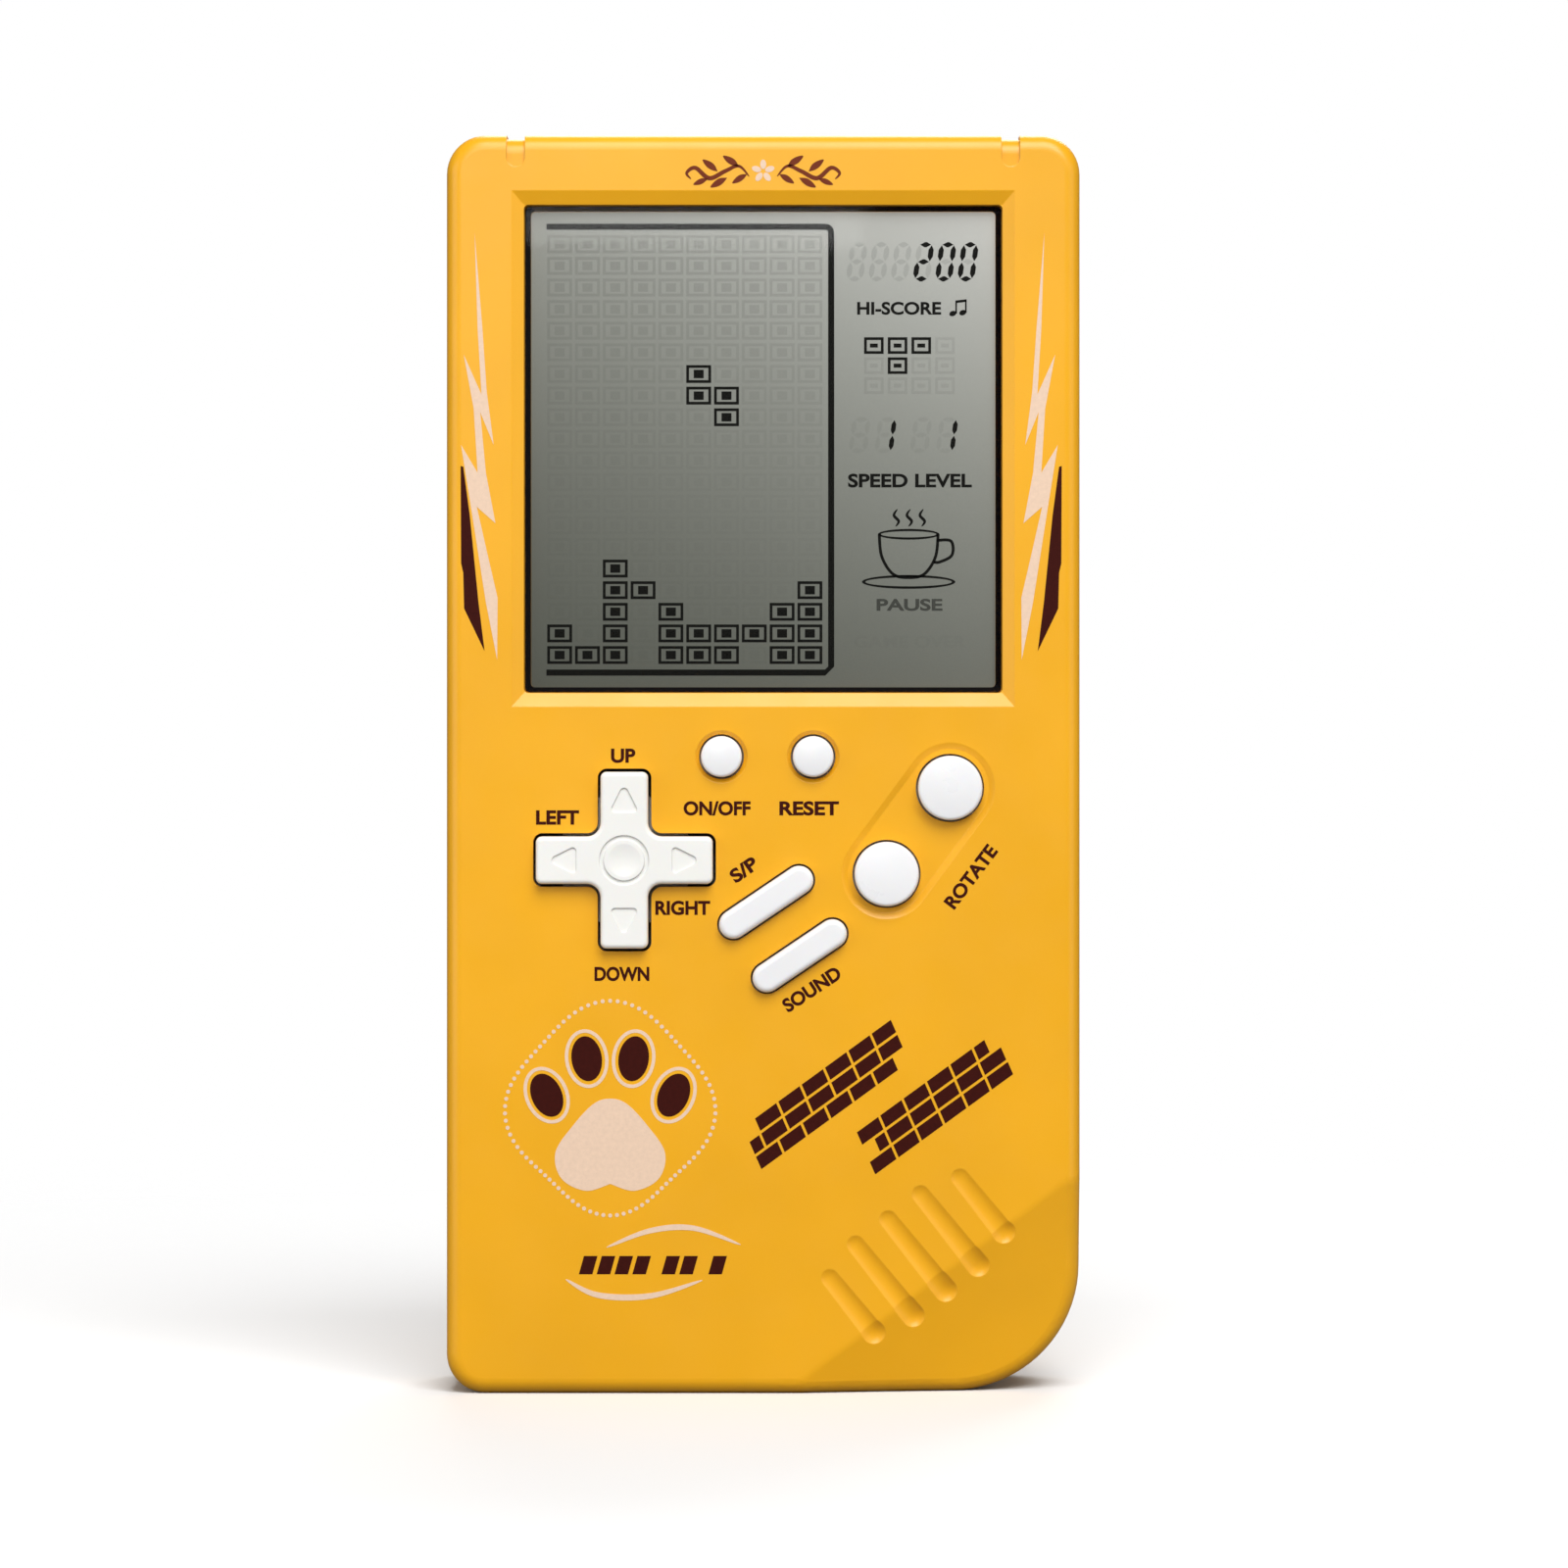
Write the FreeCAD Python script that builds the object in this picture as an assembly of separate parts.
"""Handheld LCD game: a hand-sized electronic toy with a large passive display and white push buttons.

Frame, in millimetres: X runs to the player's right, +Y runs from the face to the back, +Z runs up the case.
The origin is the middle of the flat bottom edge, on the case's mid-thickness plane.
Every function below returns one node, and each piece that comes off on a bench is its own solid.
"""
import FreeCAD, Part
import math
import os

V = FreeCAD.Vector

# ---- casing ---------------------------------------------------------------------------------
CASE_W = 73.0
CASE_H = 145.0
CASE_T = 22.0
FRONT_Y = -CASE_T / 2
BACK_Y = CASE_T / 2
PARTING_Y = 1.0
WALL = 2.0
INNER_FRONT_Y = FRONT_Y + WALL
INNER_BACK_Y = BACK_Y - WALL
CORNER_R = 4.5
GRIP_CORNER_R = 14.5
FRONT_EDGE_R = 1.8
BACK_EDGE_R = 2.0
SEAM_CHAMFER = 0.25
LIP_H = 1.2
LIP_INSET = 1.1
LIP_CLEARANCE = 0.1

# ---- scooped grip corner on the face, at its lower right -------------------------------------
CREASE_X, CREASE_Z = 36.4, 25.7
CREASE_ANGLE = 37.0
CREASE_R = 3.0
SCOOP_R = 104.0
SCOOP_ANGLE = 16.0

# ---- display window --------------------------------------------------------------------------
WINDOW_Z = 108.8
BEVEL_HALF = (28.95, 29.7)
POCKET_HALF = (27.55, 28.1)
OPENING_HALF = (26.8, 27.45)
BEVEL_DEPTH = 0.65
POCKET_R = 0.5
LENS_T = 1.0
LENS_CLEARANCE = 0.1
TAPE_T = 0.2
LEDGE_T = 0.6
LENS_Y = FRONT_Y + BEVEL_DEPTH
TAPE_Y = LENS_Y + LENS_T
LEDGE_Y = TAPE_Y + TAPE_T
LCD_Y = LEDGE_Y + LEDGE_T

# ---- display stack, front to back ------------------------------------------------------------
LCD_HALF_W = 29.2
LCD_BOTTOM_Z = 79.3
LCD_TOP_Z = 141.6
LCD_LEDGE_Z = 138.2
POLARISER_T = 0.2
GLASS_T = 1.1
FRONT_GLASS_Y = LCD_Y + POLARISER_T
REAR_GLASS_Y = FRONT_GLASS_Y + GLASS_T
REFLECTOR_Y = REAR_GLASS_Y + GLASS_T
FOAM_Y = REFLECTOR_Y + POLARISER_T

# ---- circuit board and keypad ----------------------------------------------------------------
BOARD_Y = -3.8
BOARD_T = 1.6
BOARD_BACK_Y = BOARD_Y + BOARD_T
BOARD_HALF_W = 34.0
BOARD_BOTTOM_Z = 45.0
BOARD_TOP_Z = 142.4
PAD_T = 0.05
SHEET_T = 1.0
SHEET_Y = BOARD_Y - SHEET_T
DOME_TOP_Y = -6.0
DOME_TOP_T = 0.9
DOME_BASE_R = 3.0
DOME_TOP_R = 2.2
DOME_BORE_R = 1.75
PILL_R = 1.5
PILL_T = 0.4
DPAD_PILL_T = 0.7

# ---- buttons ---------------------------------------------------------------------------------
FLANGE_Y = INNER_FRONT_Y + 0.1
FLANGE_T = 1.2
FLANGE_MARGIN = 0.9
HOLE_CLEARANCE = 0.22
SMALL_R = 2.35
SMALL_TOP_Y = FRONT_Y - 1.3
ON_OFF = (-4.8, 73.35)
RESET = (5.75, 73.35)
LARGE_R = 3.7
LARGE_TOP_Y = FRONT_Y - 1.6
ROTATE_UPPER = (21.5, 69.75)
ROTATE_LOWER = (14.2, 59.85)
DISH_R = 5.2
DISH_FLOOR_R = 4.5
DISH_DEPTH = 0.3
BAR_R = 1.65
BAR_HALF = 4.55
BAR_ANGLE = 34.0
BAR_TOP_Y = FRONT_Y - 1.3
START = (0.35, 56.6)
SOUND = (4.2, 50.45)

# ---- direction pad ---------------------------------------------------------------------------
DPAD = (-15.95, 61.45)
DPAD_REACH = 10.15
DPAD_ARM_HALF = 2.72
DPAD_INNER_R = 1.6
DPAD_OUTER_R = 0.7
DPAD_TOP_Y = FRONT_Y - 1.7
DPAD_PIVOT_Y = -8.1
DPAD_HOLE_CLEARANCE = 0.36
DPAD_FLANGE_R = 7.8
DPAD_FLANGE_T = 1.0
DPAD_PEG_REACH = 6.6
DPAD_PEG_R = 1.1
PIVOT_BALL_R = 1.5
PIVOT_CLEARANCE = 0.04
PIVOT_POST_R = 0.95

# ---- screws and their posts ------------------------------------------------------------------
CASE_POST_X = 31.6
CASE_POST_R = 2.2
CASE_POST_Z = (42.0, 76.0, 122.0)
BOARD_POST_X = 31.4
BOARD_POST_R = 1.9
BOARD_POST_Z = (52.0, 99.0, 139.0)
CASE_SCREW_SEAT_Y = 3.5
CASE_SCREW_R = 1.1
CASE_SCREW_LENGTH = 10.0
CASE_HEAD_R = 2.0
CASE_TUBE_R = 3.2
CASE_WELL_R = 2.35
BOARD_SCREW_R = 0.95
BOARD_SCREW_LENGTH = 5.4
BOARD_HEAD_R = 1.75

# ---- batteries and their compartment ---------------------------------------------------------
CELL_R = 7.25
CELL_BODY = 49.0
CELL_NUB = 1.5
CELL_NUB_R = 2.7
CELL_Z = (13.0, 28.0)
DOOR_T = 1.8
CELL_Y = BACK_Y - DOOR_T - 0.15 - CELL_R
TUB_HALF_W = 27.8
TUB_R = 7.5
TUB_WALL = 1.2
PLATE_T = 0.4
TAB_HALF_W = 1.4
TAB_CLEARANCE = 0.2
SPRING_WIRE_R = 0.3
SPRING_R = 2.6
DOOR_HALF_W = 28.9
DOOR_BOTTOM_Z = 4.3
DOOR_TOP_Z = 36.7
DOOR_GAP = 0.15
HINGE_R = DOOR_T / 2
HINGE_Y = BACK_Y - HINGE_R
HINGE_Z = DOOR_BOTTOM_Z + HINGE_R
PIN_R = 0.55
PIN_REACH = 1.0

# ---- sounder ---------------------------------------------------------------------------------
BUZZER_Z = 100.0
BUZZER_R = 10.0
BUZZER_T = 0.3
CERAMIC_R = 7.0
CERAMIC_T = 0.2
CHAMBER_H = 1.0


# ---- shape helpers ---------------------------------------------------------------------------
def rounded_loop(points, radii, y):
    """A closed wire through (x, z) points in the plane at y, each corner rounded by its own radius."""
    corners = []
    count = len(points)
    for i, (x, z) in enumerate(points):
        here = V(x, y, z)
        before = V(points[i - 1][0], y, points[i - 1][1])
        after = V(points[(i + 1) % count][0], y, points[(i + 1) % count][1])
        to_before = (before - here).normalize()
        to_after = (after - here).normalize()
        radius = radii[i] if isinstance(radii, (list, tuple)) else radii
        if radius < 1e-6:
            corners.append((here, None, here))
            continue
        half = to_before.getAngle(to_after) / 2
        run = radius / math.tan(half)
        middle = (to_before + to_after).normalize()
        centre = here + middle * (radius / math.sin(half))
        corners.append((here + to_before * run, centre - middle * radius, here + to_after * run))
    edges = []
    for i, (start, arc_middle, end) in enumerate(corners):
        if arc_middle is not None:
            edges.append(Part.Arc(start, arc_middle, end).toShape())
        following = corners[(i + 1) % count][0]
        if end.distanceToPoint(following) > 1e-6:
            edges.append(Part.makeLine(end, following))
    return Part.Wire(Part.__sortEdges__(edges))


def plate(points, radii, y0, y1):
    """A prism of a rounded outline between two depths."""
    return Part.Face(rounded_loop(points, radii, y0)).extrude(V(0, y1 - y0, 0))


def rectangle(x0, x1, z0, z1):
    return [(x0, z0), (x1, z0), (x1, z1), (x0, z1)]


def block(x0, x1, z0, z1, y0, y1, radius=0.0):
    return plate(rectangle(x0, x1, z0, z1), radius, y0, y1)


def frame_block(half, z, y0, y1, radius=0.0):
    """A block centred on X, with (half width, half height) about the height z."""
    return block(-half[0], half[0], z - half[1], z + half[1], y0, y1, radius)


def disc(at, radius, y0, y1):
    return Part.makeCylinder(radius, y1 - y0, V(at[0], y0, at[1]), V(0, 1, 0))


def stadium_loop(start, end, radius, y):
    """A slot outline: two half circles about start and end, joined by straight sides."""
    a, b = V(start[0], y, start[1]), V(end[0], y, end[1])
    along = (b - a).normalize()
    side = V(-along.z, 0, along.x)
    edges = [
        Part.makeLine(a + side * radius, b + side * radius),
        Part.Arc(b + side * radius, b + along * radius, b - side * radius).toShape(),
        Part.makeLine(b - side * radius, a - side * radius),
        Part.Arc(a - side * radius, a - along * radius, a + side * radius).toShape(),
    ]
    return Part.Wire(edges)


def stadium(start, end, radius, y0, y1):
    return Part.Face(stadium_loop(start, end, radius, y0)).extrude(V(0, y1 - y0, 0))


def bar_ends(at):
    """The two cap centres of a slanting bar button."""
    turn = math.radians(BAR_ANGLE)
    dx, dz = BAR_HALF * math.cos(turn), BAR_HALF * math.sin(turn)
    return (at[0] - dx, at[1] - dz), (at[0] + dx, at[1] + dz)


def edges_at(shape, y, tolerance=1e-4):
    """The edges that lie wholly in the plane at depth y."""
    return [e for e in shape.Edges
            if abs(e.BoundBox.YMin - y) < tolerance and abs(e.BoundBox.YMax - y) < tolerance]


def tube(points, radius):
    """A round wire along a smooth curve through the points."""
    path = Part.BSplineCurve()
    path.interpolate([V(*p) for p in points])
    spine = Part.Wire(path.toShape())
    start = path.value(path.FirstParameter)
    heading = path.tangent(path.FirstParameter)[0]
    section = Part.Wire(Part.makeCircle(radius, start, heading))
    return spine.makePipeShell([section], True, False)


def case_posts():
    return [(side * CASE_POST_X, z) for z in CASE_POST_Z for side in (-1, 1)]


def board_posts():
    return [(side * BOARD_POST_X, z) for z in BOARD_POST_Z for side in (-1, 1)]


def export(name, shape):
    """Writes one node's STEP file, after a check that every solid in it is sound."""
    solids = shape.Solids
    if not solids or not all(s.isValid() and s.Volume > 0 for s in solids):
        raise ValueError(name + " is not a set of sound solids")
    kept = solids[0] if len(solids) == 1 else Part.makeCompound(solids)
    kept.exportStep(os.path.join("parts", name + ".step"))


# ---- casing ----------------------------------------------------------------------------------
def case_outline(inset):
    """The case's outline and corner radii, moved inwards: three small corners and one large one."""
    half, top = CASE_W / 2 - inset, CASE_H - inset
    points = [(-half, inset), (half, inset), (half, top), (-half, top)]
    return points, [CORNER_R - inset, GRIP_CORNER_R - inset, CORNER_R - inset, CORNER_R - inset]


def scoop_axis():
    """Where the scoop's axis lies in front of the face: its distance past the crease, and its height."""
    start = math.radians(SCOOP_ANGLE)
    return SCOOP_R * math.sin(start), SCOOP_R * math.cos(start)


def past_crease(x, z):
    """How far a point of the face lies beyond the crease, towards the rounded corner."""
    turn = math.radians(CREASE_ANGLE)
    return (x - CREASE_X) * math.sin(turn) - (z - CREASE_Z) * math.cos(turn)


def scoop_depth(past):
    """How deep the scooped surface lies below the flat face, this far past the crease."""
    ahead, height = scoop_axis()
    return math.sqrt(SCOOP_R ** 2 - (past - ahead) ** 2) - height if past > 0 else 0.0


def scoop_cutter(inset):
    """The big cylinder that hollows the grip corner, for a surface that lies inset behind the outer one."""
    turn, half_length = math.radians(CREASE_ANGLE), 45.0
    towards = V(math.sin(turn), 0, -math.cos(turn))
    along = V(math.cos(turn), 0, math.sin(turn))
    ahead, height = scoop_axis()
    middle = V(CREASE_X, FRONT_Y - height, CREASE_Z) + towards * ahead
    return Part.makeCylinder(SCOOP_R + inset, 2 * half_length, middle - along * half_length, along)


def front_block(inset, back_y):
    """The front half of the case as a solid whose surface lies inset inside the outer one."""
    points, radii = case_outline(inset)
    return plate(points, radii, FRONT_Y + inset, back_y).cut(scoop_cutter(inset))


def crease_edge(shape):
    """The long straight edge where the face meets the scoop."""
    turn = math.radians(CREASE_ANGLE)
    found = []
    for edge in shape.Edges:
        if len(edge.Vertexes) == 2 and edge.Length > 15:
            run = edge.Vertexes[1].Point - edge.Vertexes[0].Point
            level = abs(run.y) < 1e-6 and abs(edge.Vertexes[0].Point.y - FRONT_Y) < 1e-6
            if level and abs(abs(run.x / run.Length) - math.cos(turn)) < 1e-3:
                found.append(edge)
    return found


def rim_edges(shape, y_limit):
    """The outline edges of the face, all round the case."""
    return [e for e in shape.Edges
            if e.BoundBox.YMax < y_limit and e.BoundBox.YMin >= FRONT_Y - 1e-3 and on_outline(e)]


def on_outline(edge):
    """True if an edge lies on the case's side walls."""
    points, radii = case_outline(0.05)
    inside = Part.Face(rounded_loop(points, radii, 0))
    first, last = edge.ParameterRange
    for share in (0.1, 0.5, 0.9):
        p = edge.valueAt(first + (last - first) * share)
        if inside.isInside(V(p.x, 0, p.z), 1e-6, True):
            return False
    return True


def outer_front():
    """The front half's outer form, with its soft crease and rounded rim."""
    body = front_block(0, PARTING_Y)
    body = body.makeFillet(CREASE_R, crease_edge(body))
    body = body.makeFillet(FRONT_EDGE_R, rim_edges(body, PARTING_Y - 4))
    return body.makeChamfer(SEAM_CHAMFER, edges_at(body, PARTING_Y))


def groove(start, end):
    """The cutter for one finger groove: a shallow round-bottomed channel that follows the face
    over its crease and deepens towards its lower end."""
    radius, sinks = 2.05, (0.28, 0.4, 0.45)

    def over_face(x, z, sink):
        return V(x, FRONT_Y + scoop_depth(past_crease(x, z)) - (radius - sink), z)

    (x0, z0), (x1, z1) = start, end
    before, after = past_crease(x0, z0), past_crease(x1, z1)
    share = -before / (after - before)
    places = [(x0, z0), (x0 + (x1 - x0) * share, z0 + (z1 - z0) * share), (x1, z1)]
    stops = [over_face(x, z, sink) for (x, z), sink in zip(places, sinks)]
    pieces = [Part.makeSphere(radius, p) for p in stops]
    for a, b in zip(stops, stops[1:]):
        pieces.append(Part.makeCylinder(radius, (b - a).Length, a, b - a))
    return pieces[0].fuse(pieces[1:])


def grooves():
    """Five parallel finger grooves, the outer two shorter."""
    first, step = V(10.35, 0, 10.05), V(3.74, 0, 2.89)
    direction = math.radians(-51.2)
    halves = (4.25, 5.5, 5.5, 5.5, 4.25)
    for i, half in enumerate(halves):
        centre = first + step * i
        dx, dz = half * math.cos(direction), half * math.sin(direction)
        yield groove((centre.x - dx, centre.z - dz), (centre.x + dx, centre.z + dz))


def shoulder_notches():
    """Two shallow slots that run over the top edge near the corners."""
    half_gap, width, bottom_z, depth, back = 28.5, 2.1, 142.3, 0.4, -5.0
    core = front_block(depth, PARTING_Y)
    core = core.makeFillet(FRONT_EDGE_R, [
        e for e in edges_at(core, FRONT_Y + depth) if e.BoundBox.ZMin > CASE_H - 2 and e.Length > 50])
    for side in (-1, 1):
        x = side * half_gap
        yield stadium((x, bottom_z), (x, CASE_H + 3), width / 2, FRONT_Y - 1, back).cut(core)


def button_holes():
    """Every opening that a button comes through."""
    cutters = []
    through = (FRONT_Y - 1, INNER_FRONT_Y + 1)
    for at, radius in ((ON_OFF, SMALL_R), (RESET, SMALL_R), (ROTATE_UPPER, LARGE_R), (ROTATE_LOWER, LARGE_R)):
        cutters.append(disc(at, radius + HOLE_CLEARANCE, *through))
    for at in (ON_OFF, RESET):
        flare = 0.45
        cutters.append(Part.makeCone(
            SMALL_R + HOLE_CLEARANCE + flare * 2, SMALL_R + HOLE_CLEARANCE, flare * 2,
            V(at[0], FRONT_Y - flare, at[1]), V(0, 1, 0)))
    for at in (START, SOUND):
        cutters.append(stadium(*bar_ends(at), BAR_R + HOLE_CLEARANCE, *through))
    points, radii = cross_outline(DPAD_HOLE_CLEARANCE)
    cutters.append(plate(points, radii, *through))
    return cutters


def rotate_dish():
    """The shallow slot-shaped dish round the two rotate buttons."""
    above = 0.3
    flare = (DISH_R - DISH_FLOOR_R) * above / DISH_DEPTH
    outer = stadium_loop(ROTATE_LOWER, ROTATE_UPPER, DISH_R + flare, FRONT_Y - above)
    floor = stadium_loop(ROTATE_LOWER, ROTATE_UPPER, DISH_FLOOR_R, FRONT_Y + DISH_DEPTH)
    return Part.makeLoft([outer, floor], True, True)


def window_cutters():
    """The bevel, the pocket for the lens and the opening over the display."""
    rims = []
    for depth in (-1.0, BEVEL_DEPTH):
        share = depth / BEVEL_DEPTH
        half = [b + (p - b) * share for b, p in zip(BEVEL_HALF, POCKET_HALF)]
        points = rectangle(-half[0], half[0], WINDOW_Z - half[1], WINDOW_Z + half[1])
        rims.append(rounded_loop(points, 0, FRONT_Y + depth))
    bevel = Part.makeLoft(rims, True, True)
    pocket = frame_block(POCKET_HALF, WINDOW_Z, LENS_Y - 0.1, LEDGE_Y, POCKET_R)
    opening = frame_block(OPENING_HALF, WINDOW_Z, LEDGE_Y - 0.1, LCD_Y + 1, POCKET_R)
    return [bevel, pocket, opening]


def display_seat():
    """The thickened frame behind the window, with the ribs that hold the display glass."""
    seat_half_w, seat_bottom, seat_top = 30.0, 78.4, 142.2
    seat = block(-seat_half_w, seat_half_w, seat_bottom, seat_top, INNER_FRONT_Y - 0.5, LCD_Y)
    rib_t, rib_y = 0.6, LCD_Y + 2.4
    inner = LCD_HALF_W + 0.15
    ribs = [
        block(-inner - rib_t, -inner, 85, 118, LCD_Y - 0.5, rib_y),
        block(inner, inner + rib_t, 85, 118, LCD_Y - 0.5, rib_y),
        block(-20, 20, LCD_BOTTOM_Z - 0.15 - rib_t, LCD_BOTTOM_Z - 0.15, LCD_Y - 0.5, rib_y),
        block(-20, 20, LCD_TOP_Z + 0.15, LCD_TOP_Z + 0.15 + 0.45, LCD_Y - 0.5, rib_y),
    ]
    return [seat] + ribs


def front_posts():
    """Posts for the case screws and the board screws, and their pilot holes."""
    posts, holes = [], []
    for at in case_posts():
        posts.append(disc(at, CASE_POST_R, INNER_FRONT_Y - 0.5, PARTING_Y - 0.15))
        holes.append(disc(at, CASE_SCREW_R + 0.03, -7.4, PARTING_Y))
    for at in board_posts():
        posts.append(disc(at, BOARD_POST_R, INNER_FRONT_Y - 0.5, BOARD_Y))
        holes.append(disc(at, BOARD_SCREW_R + 0.03, -8.2, BOARD_Y + 1))
    return posts, holes


def front_shell():
    """The moulded face: window frame, button holes, finger grooves, and posts inside."""
    shell = outer_front()
    rebate_points, rebate_radii = case_outline(LIP_INSET - LIP_CLEARANCE)
    rebate = plate(rebate_points, rebate_radii, PARTING_Y - LIP_H - LIP_CLEARANCE, PARTING_Y + 1)
    shell = shell.cut([front_block(WALL, PARTING_Y + 1), rebate])
    posts, holes = front_posts()
    shell = shell.fuse(display_seat() + posts)
    cutters = window_cutters() + button_holes() + holes + [rotate_dish()]
    shell = shell.cut(cutters)
    shell = shell.cut(list(grooves()) + list(shoulder_notches()))
    return shell.removeSplitter()


def tub_outer():
    """The outside of the battery compartment: two half tubes and a straight-sided mouth."""
    half = TUB_HALF_W + TUB_WALL
    low, high = CELL_Z[0] - TUB_R - TUB_WALL, CELL_Z[1] + TUB_R + TUB_WALL
    pieces = [Part.makeCylinder(TUB_R + TUB_WALL, 2 * half, V(-half, CELL_Y, z), V(1, 0, 0)) for z in CELL_Z]
    pieces.append(block(-half, half, low, high, CELL_Y, INNER_BACK_Y + 0.5))
    pieces.append(block(-half, half, CELL_Z[0], CELL_Z[1], CELL_Y - 6.0, CELL_Y))
    return pieces


def tub_inner():
    """The room for two cells."""
    half = TUB_HALF_W
    low, high = CELL_Z[0] - TUB_R, CELL_Z[1] + TUB_R
    pieces = [Part.makeCylinder(TUB_R, 2 * half, V(-half, CELL_Y, z), V(1, 0, 0)) for z in CELL_Z]
    pieces.append(block(-half, half, CELL_Z[0], CELL_Z[1], CELL_Y - 4.6, CELL_Y))
    pieces.append(block(-half, half, low, high, CELL_Y, BACK_Y + 1))
    return pieces


def door_recess():
    """The rebate that the battery door closes into, its pin holes and the thumb scoop above it."""
    gap = DOOR_GAP
    rebate = block(-DOOR_HALF_W - gap, DOOR_HALF_W + gap, DOOR_BOTTOM_Z - gap, DOOR_TOP_Z + gap,
                   BACK_Y - DOOR_T - 0.05, BACK_Y + 1)
    pin_half = DOOR_HALF_W + PIN_REACH + 0.1
    pins = Part.makeCylinder(PIN_R + 0.05, 2 * pin_half, V(-pin_half, HINGE_Y, HINGE_Z), V(1, 0, 0))
    scoop_r, scoop_depth = 22.0, 1.1
    scoop = Part.makeSphere(scoop_r, V(0, BACK_Y + scoop_r - scoop_depth, DOOR_TOP_Z + 2.2))
    return [rebate, pins, scoop]


def contact_slots():
    """Slots where the solder tabs of the battery contacts leave the compartment."""
    wall_x = -TUB_HALF_W
    y0, y1 = CELL_Y - TAB_HALF_W - TAB_CLEARANCE, CELL_Y + TAB_HALF_W + TAB_CLEARANCE
    upper = block(wall_x - 0.1, wall_x + PLATE_T + 0.1, CELL_Z[1] + 5, CELL_Z[1] + 12, y0, y1)
    lower = block(wall_x - 2, wall_x + 0.1, CELL_Z[0] - 0.3, CELL_Z[0] + 0.3, y0, y1)
    return [upper, lower]


def sound_slots():
    """Sound outlets in front of the sounder: parallel slots within a circle."""
    reach, pitch, radius = 7.2, 2.6, 0.6
    slots = []
    for i in range(-2, 3):
        offset = i * pitch
        half = math.sqrt(reach ** 2 - offset ** 2)
        slots.append(stadium((-half, BUZZER_Z + offset), (half, BUZZER_Z + offset), radius,
                             INNER_BACK_Y - 0.5, BACK_Y + 1))
    return slots


def rear_shell():
    """The moulded back: battery compartment, screw wells, sound outlets and the locating lip."""
    points, radii = case_outline(0)
    shell = plate(points, radii, PARTING_Y, BACK_Y)
    shell = shell.makeFillet(BACK_EDGE_R, edges_at(shell, BACK_Y))
    shell = shell.makeChamfer(SEAM_CHAMFER, edges_at(shell, PARTING_Y))
    inner_points, inner_radii = case_outline(WALL)
    shell = shell.cut(plate(inner_points, inner_radii, PARTING_Y - 1, INNER_BACK_Y))
    lip_points, lip_radii = case_outline(LIP_INSET)
    lip = plate(lip_points, lip_radii, PARTING_Y - LIP_H, PARTING_Y + 2).cut(
        plate(inner_points, inner_radii, PARTING_Y - LIP_H - 1, PARTING_Y + 3))
    tubes = [disc(at, CASE_TUBE_R, PARTING_Y, INNER_BACK_Y + 0.5) for at in case_posts()]
    ring_at = (0, BUZZER_Z)
    chamber = [disc(ring_at, BUZZER_R + 1.2, INNER_BACK_Y - CHAMBER_H - 0.6, INNER_BACK_Y + 0.5)]
    shell = shell.fuse([lip] + tubes + chamber + tub_outer())
    cutters = tub_inner() + door_recess() + contact_slots() + sound_slots()
    cutters.append(disc(ring_at, BUZZER_R - 1.0, INNER_BACK_Y - 3, INNER_BACK_Y))
    cutters.append(disc(ring_at, BUZZER_R + 0.2, INNER_BACK_Y - 3, INNER_BACK_Y - CHAMBER_H))
    for at in case_posts():
        cutters.append(disc(at, CASE_SCREW_R + 0.25, PARTING_Y - 1, CASE_SCREW_SEAT_Y + 1))
        cutters.append(disc(at, CASE_WELL_R, CASE_SCREW_SEAT_Y, BACK_Y + 1))
    return shell.cut(cutters).removeSplitter()


def battery_door():
    """The battery door: a plate with a round hinge edge and two moulded pins, grip ribs and cell pads."""
    inner_y = BACK_Y - DOOR_T
    panel = block(-DOOR_HALF_W, DOOR_HALF_W, HINGE_Z, DOOR_TOP_Z, inner_y, BACK_Y)
    edge = Part.makeCylinder(HINGE_R, 2 * DOOR_HALF_W, V(-DOOR_HALF_W, HINGE_Y, HINGE_Z), V(1, 0, 0))
    pin_half = DOOR_HALF_W + PIN_REACH
    pins = Part.makeCylinder(PIN_R, 2 * pin_half, V(-pin_half, HINGE_Y, HINGE_Z), V(1, 0, 0))
    valley_z = sum(CELL_Z) / 2
    keel = block(-18, 18, valley_z - 0.6, valley_z + 0.6, inner_y - 1.6, inner_y + 0.2)
    door = panel.fuse([edge, pins, keel])
    cutters = []
    ridge_pitch, ridge_half = 1.7, 7.0
    for i in range(5):
        z = DOOR_TOP_Z - 3.0 - i * ridge_pitch
        cutters.append(stadium((-ridge_half + i, z), (ridge_half - i, z), 0.45, BACK_Y - 0.5, BACK_Y + 1))
    tongue_x, slot_r, tongue_z = 10.0, 0.4, DOOR_TOP_Z - 12.5
    for side in (-1, 1):
        cutters.append(stadium((side * tongue_x, tongue_z), (side * tongue_x, DOOR_TOP_Z + 2), slot_r,
                               inner_y - 1, BACK_Y + 1))
    return door.cut(cutters).removeSplitter()


# ---- display ---------------------------------------------------------------------------------
def window_lens():
    half = [h - LENS_CLEARANCE for h in POCKET_HALF]
    lens = frame_block(half, WINDOW_Z, LENS_Y, TAPE_Y, POCKET_R)
    return lens.makeChamfer(0.15, edges_at(lens, LENS_Y))


def lens_tape():
    """The black adhesive frame that holds the lens and borders the picture."""
    half = [h - LENS_CLEARANCE for h in POCKET_HALF]
    outer = frame_block(half, WINDOW_Z, TAPE_Y, LEDGE_Y, POCKET_R)
    return outer.cut(frame_block(OPENING_HALF, WINDOW_Z, TAPE_Y - 1, LEDGE_Y + 1, POCKET_R))


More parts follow.
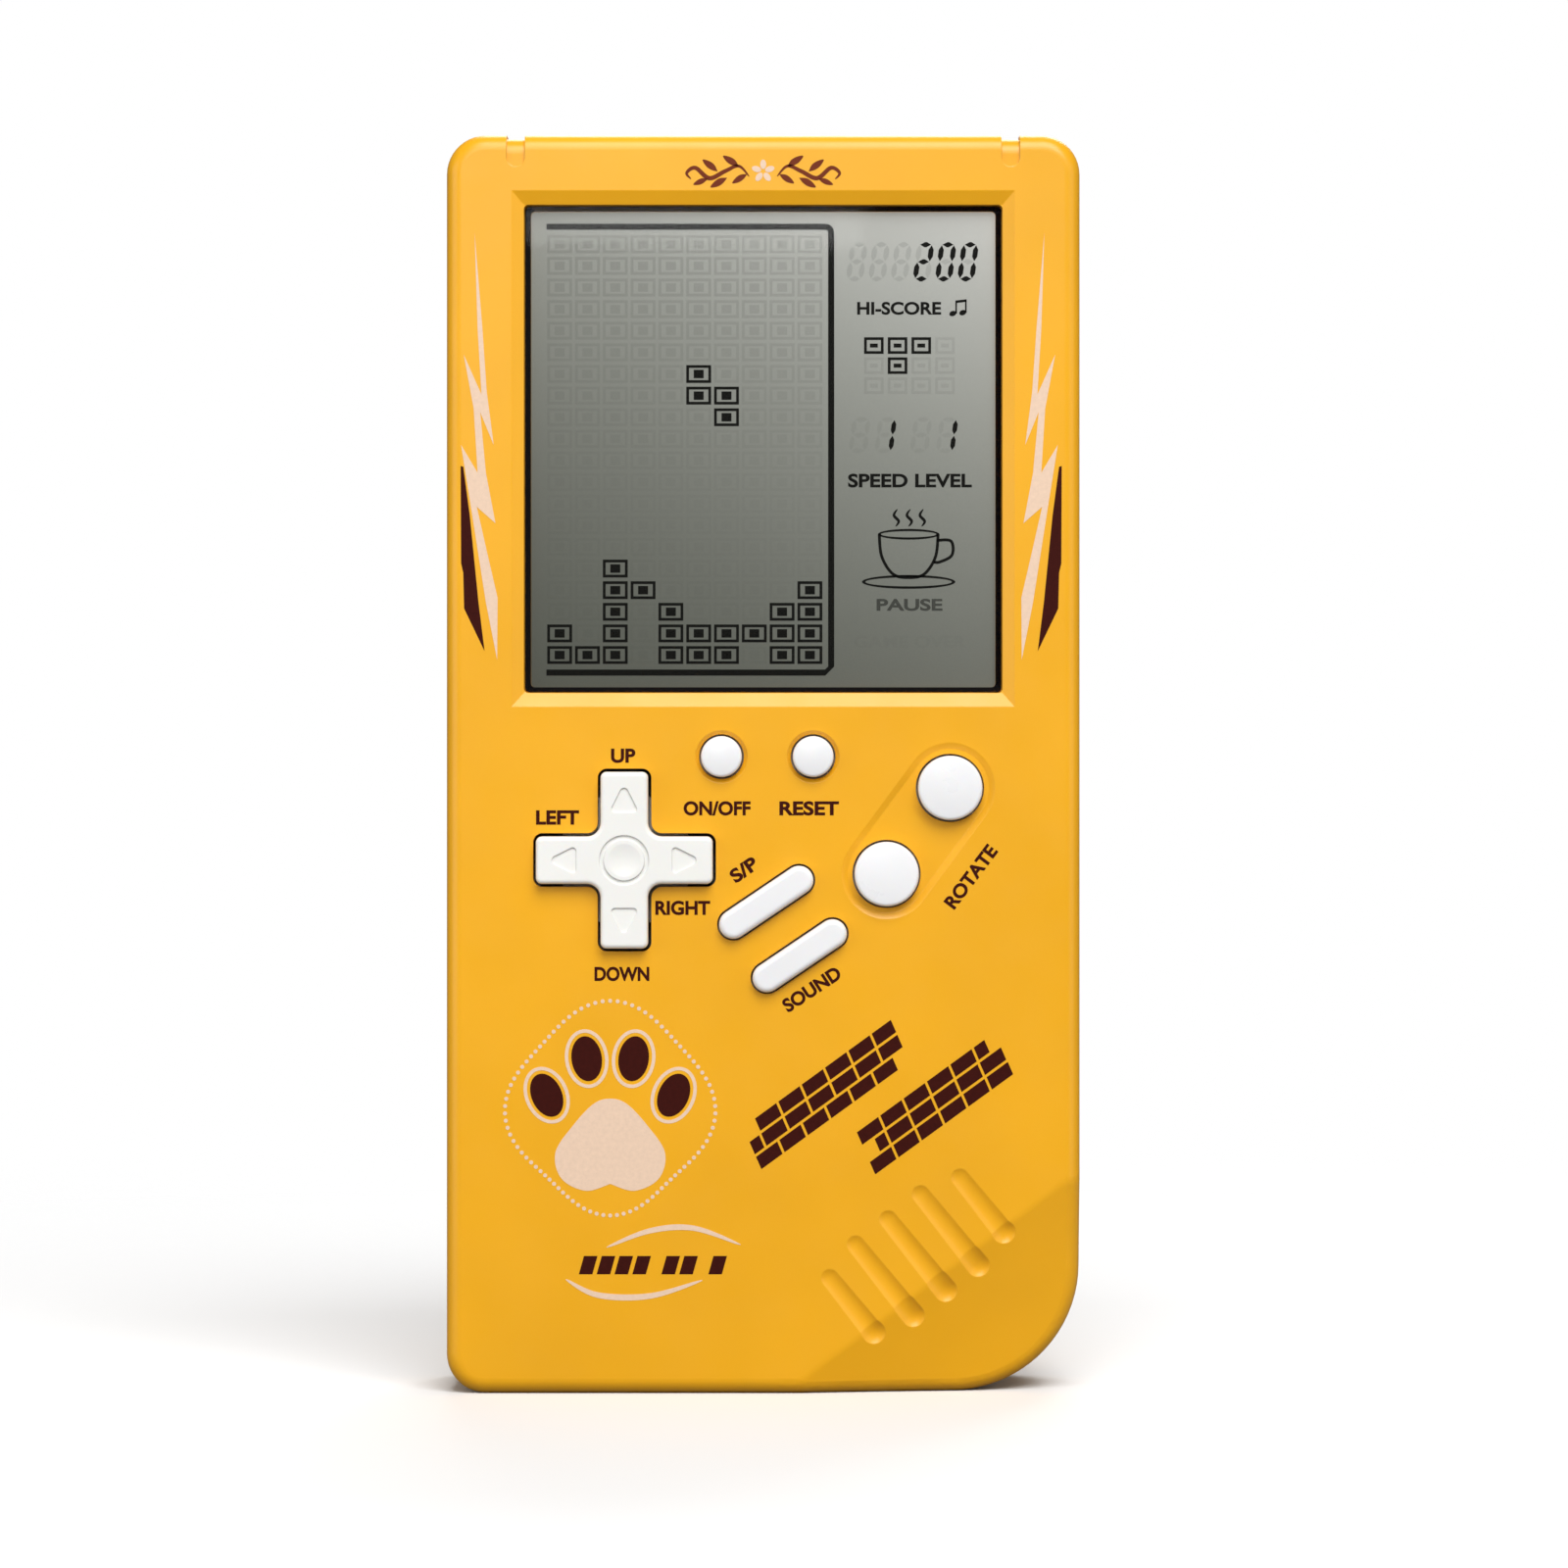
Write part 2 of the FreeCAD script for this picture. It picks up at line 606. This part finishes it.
def lcd_front_polariser():
    return block(-28.6, 28.6, LCD_BOTTOM_Z + 0.6, LCD_LEDGE_Z - 0.4, LCD_Y, FRONT_GLASS_Y)


def lcd_front_glass():
    return block(-LCD_HALF_W, LCD_HALF_W, LCD_BOTTOM_Z, LCD_TOP_Z, FRONT_GLASS_Y, REAR_GLASS_Y)


def lcd_rear_glass():
    return block(-LCD_HALF_W, LCD_HALF_W, LCD_BOTTOM_Z, LCD_LEDGE_Z, REAR_GLASS_Y, REFLECTOR_Y)


def lcd_reflector():
    return block(-28.6, 28.6, LCD_BOTTOM_Z + 0.6, LCD_LEDGE_Z - 0.4, REFLECTOR_Y, FOAM_Y)


def lcd_foam_pad():
    """The foam frame that presses the display forwards off the board."""
    outer = block(-25, 25, 83, 135, FOAM_Y, BOARD_Y, 1.0)
    return outer.cut(block(-18, 18, 90, 128, FOAM_Y - 1, BOARD_Y + 1, 1.0))


def zebra_strip():
    """The elastomer connector between the display's glass ledge and the board."""
    return block(-27.5, 27.5, LCD_LEDGE_Z + 0.5, LCD_TOP_Z - 0.5, REAR_GLASS_Y, BOARD_Y)


# ---- board -----------------------------------------------------------------------------------
def dpad_peg_places():
    x, z = DPAD
    reach = DPAD_PEG_REACH
    return [(x + reach, z), (x - reach, z), (x, z + reach), (x, z - reach)]


def button_places():
    return [ON_OFF, RESET, ROTATE_UPPER, ROTATE_LOWER, START, SOUND]


def main_board():
    """The circuit board, notched round the case posts and drilled for its own screws."""
    board = plate(rectangle(-BOARD_HALF_W, BOARD_HALF_W, BOARD_BOTTOM_Z, BOARD_TOP_Z),
                  [1.0, 1.0, 2.2, 2.2], BOARD_Y, BOARD_BACK_Y)
    through = (BOARD_Y - 1, BOARD_BACK_Y + 1)
    cutters = []
    for x, z in case_posts():
        outwards = math.copysign(6, x)
        cutters.append(stadium((x, z), (x + outwards, z), CASE_POST_R + 0.4, *through))
    cutters += [disc(at, BOARD_SCREW_R + 0.2, *through) for at in board_posts()]
    cutters.append(disc(DPAD, 0.65, *through))
    return board.cut(cutters)


def board_pads():
    """The printed carbon contact pads, one under each rubber dome, each split by a gap."""
    pads = []
    for at in button_places() + dpad_peg_places():
        pad = disc(at, PILL_R + 0.2, BOARD_Y - PAD_T, BOARD_Y)
        gap = block(at[0] - 0.15, at[0] + 0.15, at[1] - 3, at[1] + 3, BOARD_Y - 1, BOARD_Y + 1)
        pads.append(pad.cut(gap))
    return Part.makeCompound([s for pad in pads for s in pad.Solids])


def chip_blob():
    """The epoxy drop that covers the game chip."""
    radius, height, at = 8.0, 1.7, (6.0, 68.0)
    ball_r = (radius ** 2 + height ** 2) / (2 * height)
    ball = Part.makeSphere(ball_r, V(at[0], BOARD_BACK_Y + height - ball_r, at[1]))
    return ball.common(disc(at, radius + 1, BOARD_BACK_Y, BOARD_BACK_Y + height + 1))


def board_components():
    """Chip resistors and capacitors, and one can capacitor, on the back of the board."""
    parts = []
    for i in range(5):
        x = 15.5 + i * 2.6
        parts.append(block(x, x + 1.3, 76, 78.2, BOARD_BACK_Y, BOARD_BACK_Y + 0.6))
    for i in range(3):
        z = 60.0 + i * 3.0
        parts.append(block(-8.0, -5.8, z, z + 1.3, BOARD_BACK_Y, BOARD_BACK_Y + 0.7))
    can = disc((-14.0, 74.0), 2.5, BOARD_BACK_Y, BOARD_BACK_Y + 5.4)
    parts.append(can.makeFillet(0.4, edges_at(can, BOARD_BACK_Y + 5.4)))
    return Part.makeCompound(parts)


# ---- keypad ----------------------------------------------------------------------------------
def keypad_mat():
    """The silicone mat: a thin sheet with a hollow dome behind every button."""
    mat = block(-27.5, 27.2, 46.0, 77.2, SHEET_Y, BOARD_Y - PAD_T, 1.5)
    domes, bores = [], []
    for at in button_places() + dpad_peg_places():
        domes.append(Part.makeCone(DOME_TOP_R, DOME_BASE_R, SHEET_Y - DOME_TOP_Y + 0.2,
                                   V(at[0], DOME_TOP_Y, at[1]), V(0, 1, 0)))
        bores.append(disc(at, DOME_BORE_R, DOME_TOP_Y + DOME_TOP_T, BOARD_Y + 1))
    bores.append(disc(DPAD, PIVOT_POST_R + 0.5, SHEET_Y - 1, BOARD_Y + 1))
    return mat.fuse(domes).cut(bores).removeSplitter()


def carbon_pills():
    """The conductive pills inside the domes; the ones under the direction pad are thicker."""
    top = DOME_TOP_Y + DOME_TOP_T
    pills = [disc(at, PILL_R, top, top + PILL_T) for at in button_places()]
    pills += [disc(at, PILL_R, top, top + DPAD_PILL_T) for at in dpad_peg_places()]
    return Part.makeCompound(pills)


# ---- buttons ---------------------------------------------------------------------------------
def round_button(at, radius, top_y):
    """A turned button: crowned cap, retaining flange and a stem that rests on its dome."""
    crown = 0.3
    ball_r = (radius ** 2 + crown ** 2) / (2 * crown)
    cap = disc(at, radius, top_y, FLANGE_Y + 0.2)
    cap = cap.common(Part.makeSphere(ball_r, V(at[0], top_y + ball_r, at[1])))
    rim = [e for e in cap.Edges if e.BoundBox.YMax < FRONT_Y and e.Length > radius]
    cap = cap.makeFillet(0.4, rim)
    flange = disc(at, radius + FLANGE_MARGIN, FLANGE_Y, FLANGE_Y + FLANGE_T)
    stem = disc(at, DOME_TOP_R, FLANGE_Y, DOME_TOP_Y)
    return cap.fuse([flange, stem]).removeSplitter()


def bar_button(at):
    """A slanting bar button with rounded ends and a soft top edge."""
    ends = bar_ends(at)
    cap = stadium(*ends, BAR_R, BAR_TOP_Y, FLANGE_Y + 0.2)
    cap = cap.makeFillet(0.6, edges_at(cap, BAR_TOP_Y))
    flange = stadium(*ends, BAR_R + FLANGE_MARGIN, FLANGE_Y, FLANGE_Y + FLANGE_T)
    stem = disc(at, DOME_TOP_R, FLANGE_Y, DOME_TOP_Y)
    return cap.fuse([flange, stem]).removeSplitter()


def cross_outline(grow):
    """The direction pad's plus-shaped outline and corner radii, grown outwards."""
    x, z = DPAD
    reach, arm = DPAD_REACH + grow, DPAD_ARM_HALF + grow
    inner, outer = max(DPAD_INNER_R - grow, 0.2), DPAD_OUTER_R + grow
    quarter = [(arm, arm), (arm, reach), (-arm, reach), (-arm, arm)]
    points, radii = [], []
    for turn in range(4):
        for i, (px, pz) in enumerate(quarter[:3]):
            for _ in range(turn):
                px, pz = -pz, px
            points.append((x + px, z + pz))
            radii.append(inner if i == 0 else outer)
    return points, radii


def arrow_mark(direction):
    """A shallow triangular recess on one arm, pointing outwards."""
    near, far, half, depth = 5.5, 8.9, 1.7, 0.18
    turn = math.radians(direction)
    points = []
    for along, across in ((near, -half), (near, half), (far, 0)):
        points.append((DPAD[0] + along * math.cos(turn) - across * math.sin(turn),
                       DPAD[1] + along * math.sin(turn) + across * math.cos(turn)))
    return plate(points, [0.4, 0.4, 0.5], DPAD_TOP_Y - 1, DPAD_TOP_Y + depth)


def dpad():
    """The direction pad: a plus-shaped cap, a flange, four pegs and the socket for its pivot ball."""
    points, radii = cross_outline(0)
    cap = plate(points, radii, DPAD_TOP_Y, DPAD_PIVOT_Y)
    cap = cap.makeFillet(0.5, edges_at(cap, DPAD_TOP_Y))
    flange_back = DPAD_PIVOT_Y + DPAD_FLANGE_T
    flange = disc(DPAD, DPAD_FLANGE_R, DPAD_PIVOT_Y, flange_back)
    pegs = [disc(at, DPAD_PEG_R, DPAD_PIVOT_Y, DOME_TOP_Y) for at in dpad_peg_places()]
    pad = cap.fuse([flange] + pegs)
    ring_r, ring_depth, island_r, dish_r, dish_depth = 2.85, 0.22, 2.35, 9.0, 0.2
    ring = disc(DPAD, ring_r, DPAD_TOP_Y - 1, DPAD_TOP_Y + ring_depth)
    island = disc(DPAD, island_r, DPAD_TOP_Y - 2, DPAD_TOP_Y + 1).cut(
        Part.makeSphere(dish_r, V(DPAD[0], DPAD_TOP_Y - dish_r + dish_depth, DPAD[1])))
    socket = Part.makeSphere(PIVOT_BALL_R + PIVOT_CLEARANCE, V(DPAD[0], DPAD_PIVOT_Y, DPAD[1]))
    cutters = [arrow_mark(direction) for direction in (0, 90, 180, 270)]
    return pad.cut(cutters + [ring.cut(island), socket]).removeSplitter()


def dpad_pivot_ball():
    return Part.makeSphere(PIVOT_BALL_R, V(DPAD[0], DPAD_PIVOT_Y, DPAD[1]))


def dpad_pivot_post():
    """The post that carries the pivot ball, standing on the board with a locating pin."""
    cup_r = PIVOT_BALL_R + PIVOT_CLEARANCE
    post = disc(DPAD, PIVOT_POST_R, DPAD_PIVOT_Y + 1.15, BOARD_Y)
    pin = disc(DPAD, 0.6, BOARD_Y - 0.2, BOARD_Y + 1.2)
    return post.fuse(pin).cut(Part.makeSphere(cup_r, V(DPAD[0], DPAD_PIVOT_Y, DPAD[1]))).removeSplitter()


# ---- power -----------------------------------------------------------------------------------
def cell(z, plus_side):
    """An AA-size cell lying along X, with its raised end towards plus_side (1 or -1)."""
    tip = TUB_HALF_W - PLATE_T - 0.5
    start = V(plus_side * (tip - CELL_NUB - CELL_BODY), CELL_Y, z)
    heading = V(plus_side, 0, 0)
    body = Part.makeCylinder(CELL_R, CELL_BODY, start, heading)
    rims = [e for e in body.Edges if abs(e.BoundBox.XMax - e.BoundBox.XMin) < 1e-3]
    body = body.makeFillet(0.6, rims)
    nub = Part.makeCylinder(CELL_NUB_R, CELL_NUB + 1, start + heading * (CELL_BODY - 1), heading)
    nub_rim = [e for e in nub.Edges if abs(e.CenterOfMass.x - plus_side * tip) < 1e-3
               and abs(e.BoundBox.XMax - e.BoundBox.XMin) < 1e-3]
    return body.fuse(nub.makeFillet(0.4, nub_rim)).removeSplitter()


def contact_plate(side, z0, z1):
    """A flat contact on one end wall of the compartment."""
    x0, x1 = sorted((side * TUB_HALF_W, side * (TUB_HALF_W - PLATE_T)))
    return Part.makeBox(x1 - x0, 9.0, z1 - z0, V(x0, CELL_Y - 4.5, z0))


def contact_dimple(side, z):
    """The raised dome that meets a cell's raised end."""
    return Part.makeCone(2.0, 1.2, 0.45, V(side * (TUB_HALF_W - PLATE_T), CELL_Y, z), V(-side, 0, 0))


def contact_spring(side, z):
    """The coil that presses on a cell's flat end."""
    tip = TUB_HALF_W - PLATE_T - 0.5
    flat_end = tip - CELL_NUB - CELL_BODY
    length = TUB_HALF_W - PLATE_T + flat_end - 0.05 - SPRING_WIRE_R
    turns = 3.5
    spine = Part.makeHelix(length / turns, length, SPRING_R)
    section = Part.Wire(Part.makeCircle(SPRING_WIRE_R, V(SPRING_R, 0, 0), V(0, 1, 0)))
    coil = Part.Wire(spine).makePipeShell([section], True, True)
    coil.Placement = FreeCAD.Placement(
        V(side * (TUB_HALF_W - PLATE_T), CELL_Y, z), FreeCAD.Rotation(V(0, 0, 1), V(-side, 0, 0)))
    return coil


def contact_link():
    """The strip that joins the two cells at the right-hand end."""
    strip = contact_plate(1, CELL_Z[0] - 4.5, CELL_Z[1] + 4.5)
    return strip.fuse([contact_dimple(1, CELL_Z[1]), contact_spring(1, CELL_Z[0])])


def contact_negative():
    """The sprung contact at the upper left, with a solder tab through the compartment's roof."""
    strip = contact_plate(-1, CELL_Z[1] - 4.5, CELL_Z[1] + 4.5)
    tab = block(-TUB_HALF_W, -TUB_HALF_W + PLATE_T, CELL_Z[1] + 4, CELL_Z[1] + 10.2,
                CELL_Y - TAB_HALF_W, CELL_Y + TAB_HALF_W)
    return strip.fuse([tab, contact_spring(-1, CELL_Z[1])])


def contact_positive():
    """The flat contact at the lower left, with a solder tab through the end wall."""
    strip = contact_plate(-1, CELL_Z[0] - 4.5, CELL_Z[0] + 4.5)
    tab = block(-TUB_HALF_W - TUB_WALL - 1.6, -TUB_HALF_W, CELL_Z[0] - PLATE_T / 2, CELL_Z[0] + PLATE_T / 2,
                CELL_Y - TAB_HALF_W, CELL_Y + TAB_HALF_W)
    return strip.fuse([tab, contact_dimple(-1, CELL_Z[0])])


def wire_red():
    """From the positive tab, up beside the compartment and over its roof to the board."""
    left = -TUB_HALF_W - TUB_WALL - 2.2
    roof = CELL_Z[1] + TUB_R + TUB_WALL
    return tube([(left, CELL_Y, CELL_Z[0] + 0.9), (left, CELL_Y, 22.0), (left, CELL_Y - 1.0, roof - 3.0),
                 (left + 2.6, -1.6, roof + 2.2), (-23.0, -1.2, roof + 5.0), (-20.5, -1.2, roof + 9.0),
                 (-20.0, BOARD_BACK_Y + 0.6, 49.0)], 0.55)


def wire_black():
    """From the negative tab to the board."""
    roof = CELL_Z[1] + TUB_R + TUB_WALL
    start = (-TUB_HALF_W + 1.1, CELL_Y, roof + 1.2)
    return tube([start, (-25.0, CELL_Y - 0.3, roof + 2.6), (-18.0, 0.0, roof + 6.0),
                 (-15.5, BOARD_BACK_Y + 0.6, 49.0)], 0.55)


# ---- sounder ---------------------------------------------------------------------------------
def buzzer_disc():
    back = INNER_BACK_Y - CHAMBER_H
    return disc((0, BUZZER_Z), BUZZER_R, back - BUZZER_T, back)


def buzzer_ceramic():
    back = INNER_BACK_Y - CHAMBER_H - BUZZER_T
    return disc((0, BUZZER_Z), CERAMIC_R, back - CERAMIC_T, back)


def buzzer_wires():
    """Two thin leads from the sounder to the board."""
    face = INNER_BACK_Y - CHAMBER_H - BUZZER_T
    rim = tube([(8.6, face - 0.35, BUZZER_Z), (10.5, face - 3.0, BUZZER_Z - 4.0),
                (12.0, 1.5, BUZZER_Z - 8.0), (12.0, BOARD_BACK_Y + 0.4, BUZZER_Z - 12.0)], 0.35)
    middle = tube([(3.0, face - CERAMIC_T - 0.35, BUZZER_Z), (5.0, face - 3.5, BUZZER_Z - 5.0),
                   (8.0, 1.5, BUZZER_Z - 9.0), (9.0, BOARD_BACK_Y + 0.4, BUZZER_Z - 12.0)], 0.35)
    return Part.makeCompound([rim, middle])


# ---- fasteners -------------------------------------------------------------------------------
def screw(at, seat_y, radius, head_r, head_h, length):
    """A cross-head screw driven from the back: its head stands on seat_y, its shank runs forwards."""
    head = disc(at, head_r, seat_y, seat_y + head_h)
    head = head.makeFillet(head_h * 0.45, edges_at(head, seat_y + head_h))
    point = radius * 1.2
    shank = disc(at, radius, seat_y - length + point, seat_y + 0.2)
    tip = Part.makeCone(radius * 0.3, radius, point, V(at[0], seat_y - length, at[1]), V(0, 1, 0))
    arm, width, depth = head_r * 0.6, head_r * 0.13, head_h * 0.6
    top = seat_y + head_h
    slot_a = block(at[0] - arm, at[0] + arm, at[1] - width, at[1] + width, top - depth, top + 1)
    slot_b = block(at[0] - width, at[0] + width, at[1] - arm, at[1] + arm, top - depth, top + 1)
    return head.fuse([shank, tip]).cut([slot_a, slot_b]).removeSplitter()


def case_screws():
    return Part.makeCompound([
        screw(at, CASE_SCREW_SEAT_Y, CASE_SCREW_R, CASE_HEAD_R, 1.4, CASE_SCREW_LENGTH)
        for at in case_posts()])


def board_screws():
    return Part.makeCompound([
        screw(at, BOARD_BACK_Y, BOARD_SCREW_R, BOARD_HEAD_R, 1.1, BOARD_SCREW_LENGTH)
        for at in board_posts()])


def all_nodes():
    """Every node of the assembly, by name."""
    return {
        "front_shell": front_shell(),
        "rear_shell": rear_shell(),
        "battery_door": battery_door(),
        "window_lens": window_lens(),
        "lens_tape": lens_tape(),
        "lcd_front_polariser": lcd_front_polariser(),
        "lcd_front_glass": lcd_front_glass(),
        "lcd_rear_glass": lcd_rear_glass(),
        "lcd_reflector": lcd_reflector(),
        "lcd_foam_pad": lcd_foam_pad(),
        "zebra_strip": zebra_strip(),
        "main_board": main_board(),
        "board_pads": board_pads(),
        "chip_blob": chip_blob(),
        "board_components": board_components(),
        "keypad_mat": keypad_mat(),
        "carbon_pills": carbon_pills(),
        "dpad": dpad(),
        "dpad_pivot_ball": dpad_pivot_ball(),
        "dpad_pivot_post": dpad_pivot_post(),
        "on_off_button": round_button(ON_OFF, SMALL_R, SMALL_TOP_Y),
        "reset_button": round_button(RESET, SMALL_R, SMALL_TOP_Y),
        "rotate_button_upper": round_button(ROTATE_UPPER, LARGE_R, LARGE_TOP_Y),
        "rotate_button_lower": round_button(ROTATE_LOWER, LARGE_R, LARGE_TOP_Y),
        "start_button": bar_button(START),
        "sound_button": bar_button(SOUND),
        "battery_upper": cell(CELL_Z[1], 1),
        "battery_lower": cell(CELL_Z[0], -1),
        "contact_link": contact_link(),
        "contact_negative": contact_negative(),
        "contact_positive": contact_positive(),
        "wire_red": wire_red(),
        "wire_black": wire_black(),
        "buzzer_disc": buzzer_disc(),
        "buzzer_ceramic": buzzer_ceramic(),
        "buzzer_wires": buzzer_wires(),
        "case_screws": case_screws(),
        "board_screws": board_screws(),
    }


os.makedirs("parts", exist_ok=True)
for node_name, node_shape in all_nodes().items():
    export(node_name, node_shape)
